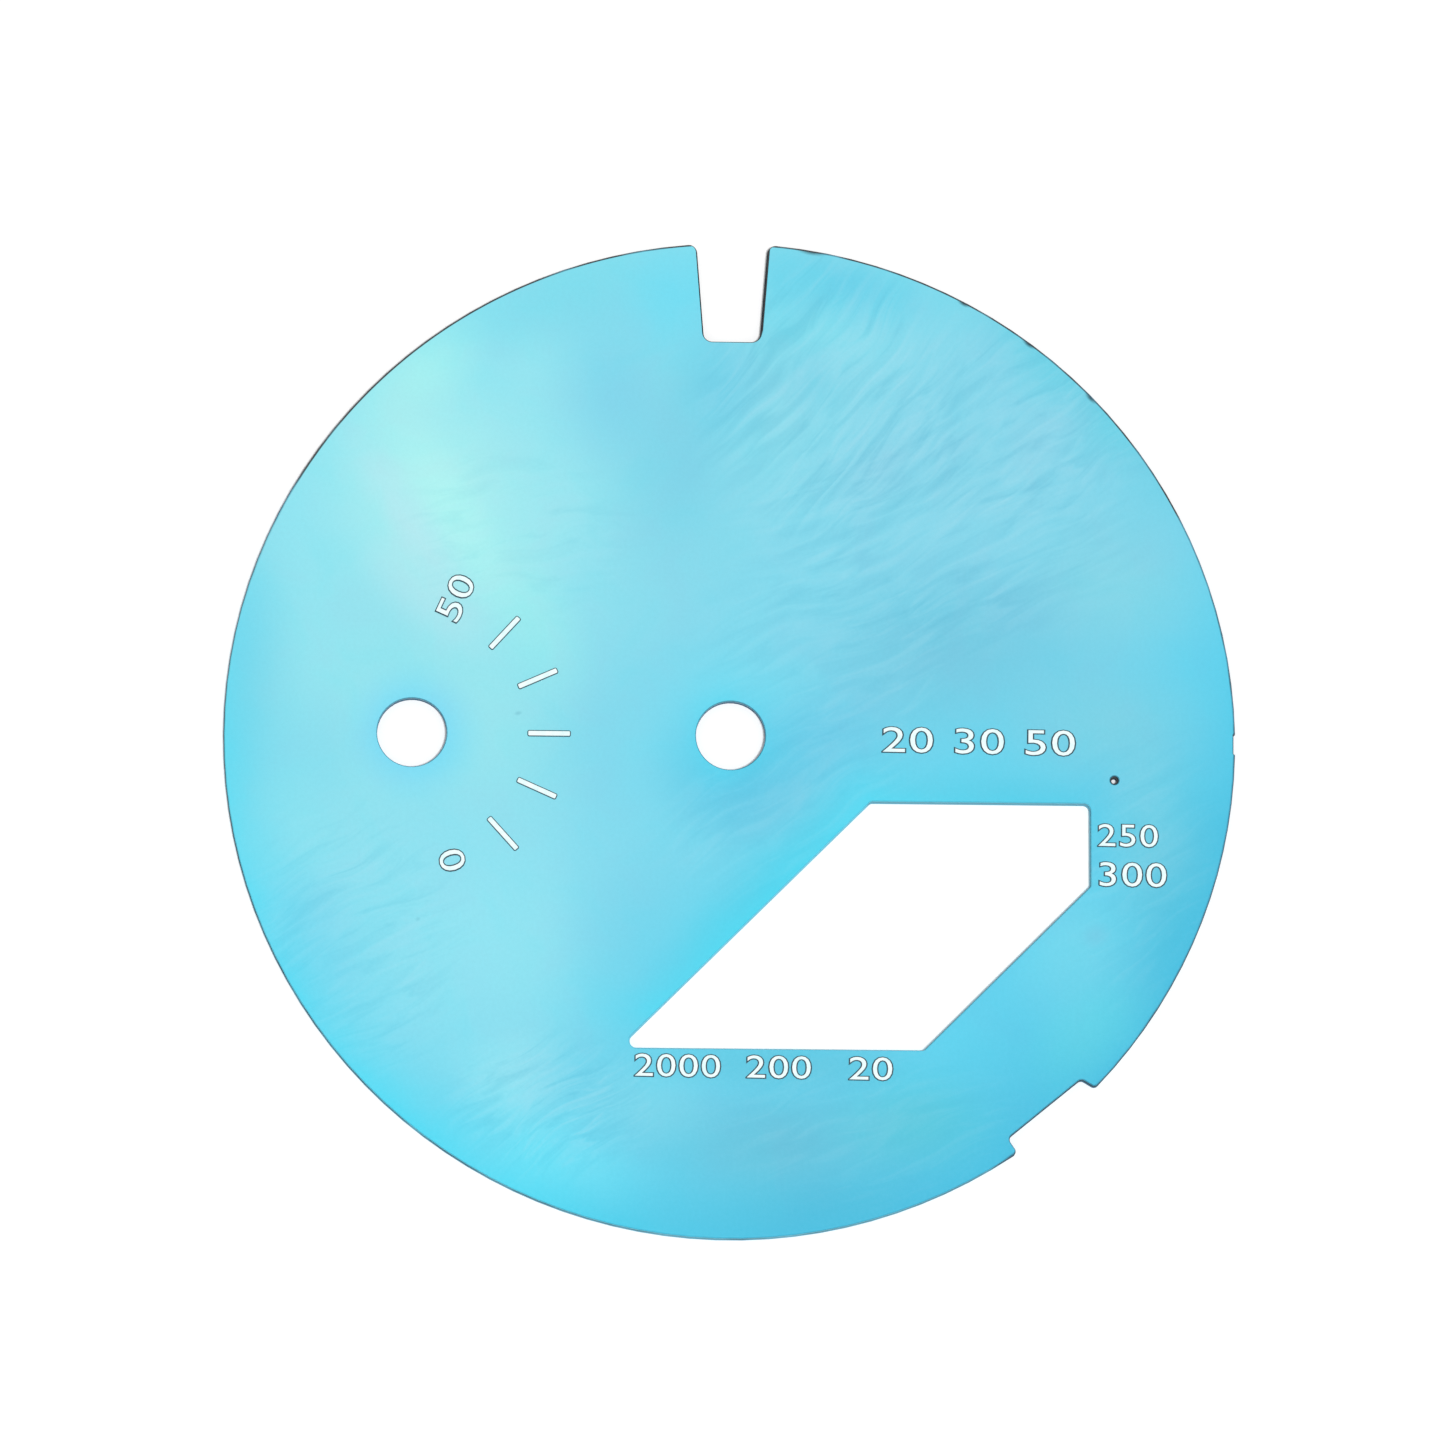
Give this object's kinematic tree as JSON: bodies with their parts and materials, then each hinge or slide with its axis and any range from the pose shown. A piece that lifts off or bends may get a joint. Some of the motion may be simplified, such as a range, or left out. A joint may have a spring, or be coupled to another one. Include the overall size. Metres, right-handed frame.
{
  "type": "watch dial",
  "caption": "Thin round watch dial with a dyed mother-of-pearl face, two hand holes, a slanted display window, edge notches and a small printed sector scale.",
  "frame": {"origin": "centre of the centre hand hole on the dial's underside", "axes": "+Z out of the printed face along the hand hole, +Y towards the notch at 12 o'clock, +X towards 3 o'clock"},
  "size_m": [0.03, 0.0299, 0.0004],
  "materials": {
    "blue_lacquered_plate": "satin",
    "clear_adhesive": "gloss",
    "blue_dyed_nacre": "polished",
    "dark_pad_ink": "satin",
    "white_pad_ink": "satin"
  },
  "bodies": {
    "root": {"backing_plate": "blue_lacquered_plate", "adhesive_film": "clear_adhesive", "pearl_face": "blue_dyed_nacre", "sector_tick_key_1": "dark_pad_ink", "sector_tick_key_2": "dark_pad_ink", "sector_tick_key_3": "dark_pad_ink", "sector_tick_key_4": "dark_pad_ink", "sector_tick_key_5": "dark_pad_ink", "sector_tick_1": "white_pad_ink", "sector_tick_2": "white_pad_ink", "sector_tick_3": "white_pad_ink", "sector_tick_4": "white_pad_ink", "sector_tick_5": "white_pad_ink"}
  },
  "joints": []
}
